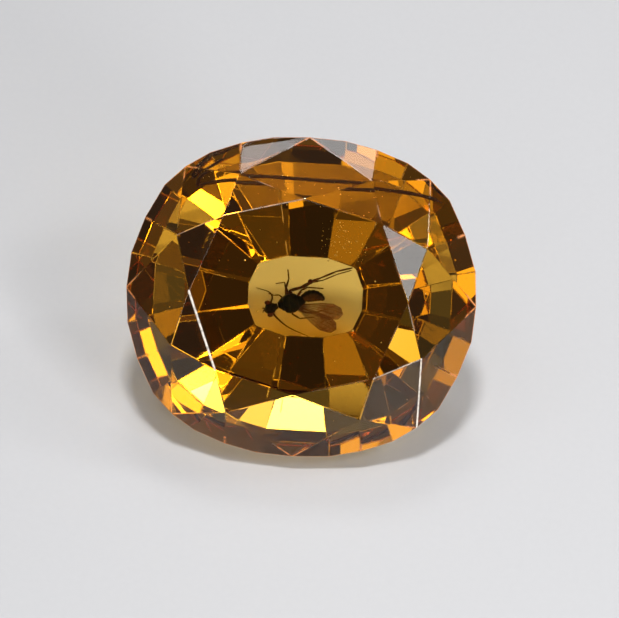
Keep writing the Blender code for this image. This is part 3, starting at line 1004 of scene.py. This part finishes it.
# Soft boxes: azimuth, elevation, width and height in degrees as the stone sees them, and brightness.
softBoxes = {
    "frontRight": (42, 18, 13, 5, 55.0),
    "frontRightWide": (34, 20, 42, 6, 2.4),
    "frontRightHigh": (36, 32, 12, 6, 1.2),
    "right": (65, 48, 8, 7, 24.0),
    "rightStar": (47, 48, 11, 9, 6.0),
    "rightBack": (83, 38, 7, 6, 3.0),
    "rightFar": (106, 40, 9, 8, 16.0),
    "rightFarHigh": (120, 53, 9, 7, 5.0),
    "frontRightLift": (21, 29, 9, 5, 3.0),
    "backRight": (150, 56, 14, 8, 1.8),
    "back": (183, 56, 14, 8, 9.0),
    "backStrip": (186, 49, 26, 4, 5.0),
    "leftBack": (262, 58, 24, 12, 1.2),
    "leftTop": (289, 71, 12, 9, 3.0),
    "left": (300, 18, 16, 7, 1.6),
    "leftMiddle": (290, 40, 12, 8, 0.6),
    "leftFront": (321, 42, 12, 14, 0.36),
    "frontHigh": (348, 57, 13, 7, 1.3),
    "frontLow": (344, 24, 12, 8, 1.1),
    "frontLowGlow": (346, 31, 8, 5, 3.8),
    "frontHighGlow": (341, 44, 7, 8, 1.1),
    "leftGlow": (272, 29, 8, 5, 1.6),
}


def direction(azimuth, elevation):
    a, e = math.radians(azimuth), math.radians(elevation)
    return Vector((math.sin(a) * math.cos(e), -math.cos(a) * math.cos(e), math.sin(e)))


def makeCamera():
    back = direction(studio["azimuth"], studio["elevation"])
    data = bpy.data.cameras.new("camera")
    data.lens = studio["lens"]
    distance = studio["viewWidth"] / data.sensor_width * data.lens
    data.clip_start = distance * 0.1
    data.clip_end = distance * 20
    camera = bpy.data.objects.new("camera", data)
    bpy.context.scene.collection.objects.link(camera)
    camera.rotation_mode = "QUATERNION"
    camera.rotation_quaternion = (-back).to_track_quat("-Z", "Y")
    right = camera.rotation_quaternion @ Vector((1, 0, 0))
    up = camera.rotation_quaternion @ Vector((0, 1, 0))
    aim = Vector(stoneOrigin) + right * studio["aim"][0] + up * studio["aim"][1]
    camera.location = aim + back * distance
    bpy.context.scene.camera = camera


def softBox(name, azimuth, elevation, wide, high, brightness, through=True):
    data = bpy.data.lights.new(name, "AREA")
    data.shape = "RECTANGLE"
    data.size = 2 * studio["boxDistance"] * math.tan(math.radians(wide / 2))
    data.size_y = 2 * studio["boxDistance"] * math.tan(math.radians(high / 2))
    data.energy = brightness * math.pi * data.size * data.size_y
    light = bpy.data.objects.new(name, data)
    back = direction(azimuth, elevation)
    light.location = Vector(stoneOrigin) + back * studio["boxDistance"]
    light.rotation_mode = "QUATERNION"
    light.rotation_quaternion = back.to_track_quat("Z", "Y")
    light.visible_camera = False
    light.visible_transmission = through
    bpy.context.scene.collection.objects.link(light)


# Floor: one pale grey, a breath lighter and darker in slow clouds, with a fine even grain.
def floorPaint():
    paint = Paint("paleFloor")
    cloud = paint.noise(30 * mm, 2.0)
    grain = paint.noise(0.25 * mm, 3.0)
    shade = cloud * 0.6 + grain * 0.4
    paint.surface({
        "Base Color": paint.blend(shade, *studio["floorTones"]),
        "Roughness": 0.55 + shade * 0.15,
        "Normal": paint.bump(grain, 0.004 * mm, 0.25),
    })
    return paint.material


# Room: dim walls in soft clouds, so that every facet sees something a little different.
def makeWorld():
    world = bpy.data.worlds.new("studio")
    world.use_nodes = True
    nodes = Nodes(world.node_tree)
    cloud = nodes.node("ShaderNodeTexNoise", None, {
        "Vector": nodes.node("ShaderNodeTexCoord", output="Generated"),
        "Scale": studio["worldScale"],
        "Detail": 1.5,
    })
    tone = nodes.node("ShaderNodeValToRGB", {"stops": studio["worldStops"]}, {"Fac": cloud})
    nodes.put(nodes.tree.nodes["Background"].inputs["Color"], tone)
    return world


def makeStudio():
    scene = bpy.context.scene
    scene.world = makeWorld()
    scene.view_settings.view_transform = "Standard"
    scene.cycles.max_bounces = studio["bounces"]
    scene.cycles.glossy_bounces = studio["bounces"]
    scene.cycles.transmission_bounces = studio["bounces"]
    sides = np.array([(-1, -1), (1, -1), (1, 1), (-1, 1)]) * studio["floorHalf"]
    square = np.column_stack((sides, np.full(4, studio["floorLevel"])))
    floor = addMesh("floor", [square], [np.array([(0, 1, 2, 3)])], floorPaint())
    for name, values in softBoxes.items():
        softBox(name, *values)
    softBox("overhead", *studio["overhead"], through=False)
    print("studio done")


makeStudio()
makeCamera()
